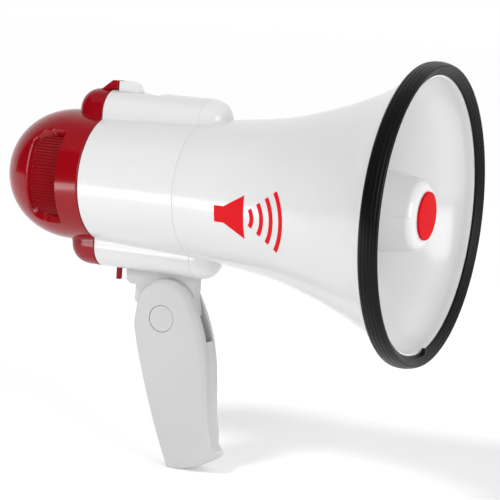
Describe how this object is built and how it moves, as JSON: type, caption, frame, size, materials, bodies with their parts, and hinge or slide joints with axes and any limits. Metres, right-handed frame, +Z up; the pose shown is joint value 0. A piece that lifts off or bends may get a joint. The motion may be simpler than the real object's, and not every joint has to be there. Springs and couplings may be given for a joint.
{
  "type": "handheld megaphone",
  "caption": "Handheld megaphone: horn loudspeaker with a reflector cup, a domed pull-off battery cap behind it and a folding pistol grip below.",
  "frame": {"origin": "middle of the flat on the base of the unfolded grip", "axes": "+X the way the horn points, +Y to the holder's left, +Z up"},
  "size_m": [0.2636, 0.1668, 0.2454],
  "materials": {
    "white_shell": "moulded gloss",
    "grey_shell": "fine satin",
    "red_shell": "moulded gloss",
    "red_badge": "smooth",
    "black_rubber": "satin",
    "black_plastic": "satin",
    "steel": "zinc plated",
    "magnet": "sintered",
    "diaphragm": "film",
    "copper": "enamelled wire",
    "board": "solder mask",
    "cell": "printed sleeve",
    "capacitor": "sleeve"
  },
  "bodies": {
    "body": {"horn": "white_shell", "bell_rim": "black_rubber", "reflector_cup": "white_shell", "nose_badge": "red_badge", "reflector_screw": "steel", "throat_tube": "grey_shell", "driver_flange": "black_plastic", "driver_diaphragm": "diaphragm", "voice_coil": "copper", "driver_top_plate": "steel", "driver_magnet": "magnet", "driver_yoke": "steel", "driver_screw_1": "steel", "driver_screw_2": "steel", "driver_screw_3": "steel", "rear_housing": "white_shell", "battery_cell_1": "cell", "battery_cell_2": "cell", "battery_cell_3": "cell", "battery_cell_4": "cell", "battery_tray": "black_plastic", "battery_contact_plate": "steel", "amplifier_board": "board", "amplifier_capacitor": "capacitor", "amplifier_heat_sink": "steel", "horn_screw_1": "steel", "horn_screw_2": "steel", "horn_screw_3": "steel", "horn_screw_4": "steel", "latch_spring": "steel", "mode_switch_case": "black_plastic", "bracket_screw_1": "steel", "bracket_screw_2": "steel", "handle_bracket": "grey_shell"},
    "rear_cap": {"rear_cap": "red_shell", "cap_contact_plate": "black_plastic", "volume_pot": "steel", "mic_grille": "black_plastic", "mic_boot": "black_rubber", "mic_capsule": "steel"},
    "volume_ring": {"volume_ring": "red_shell"},
    "latch_button": {"latch_button": "white_shell"},
    "mode_switch": {"mode_switch": "red_shell"},
    "handle": {"handle_half_near": "grey_shell", "handle_half_far": "grey_shell", "pivot_bolt": "steel", "pivot_nut": "steel", "pivot_cap_near": "grey_shell", "pivot_cap_far": "grey_shell", "handle_screw_1": "steel", "handle_screw_2": "steel", "handle_screw_3": "steel"}
  },
  "joints": [
    {"name": "cap_pull", "type": "slide", "parent": "body", "child": "rear_cap", "axis": [-1, 0, 0], "range_m": [0, 0.03]},
    {"name": "volume_turn", "type": "hinge", "parent": "rear_cap", "child": "volume_ring", "pos_m": [-0.09, 0, 0.1601], "axis": [1, 0, 0], "range_deg": [0, 270]},
    {"name": "latch_press", "type": "slide", "parent": "body", "child": "latch_button", "axis": [0, 0, -1], "range_m": [0, 0.002], "stiffness_N_per_m": 1000, "springref_m": -0.001, "deforming": ["latch_spring"]},
    {"name": "mode_slide", "type": "slide", "parent": "body", "child": "mode_switch", "axis": [1, 0, 0], "range_m": [0, 0.0035]},
    {"name": "handle_fold", "type": "hinge", "parent": "body", "child": "handle", "pos_m": [-0.0239, 0, 0.0837], "axis": [0, -1, 0], "range_deg": [0, 70]}
  ]
}
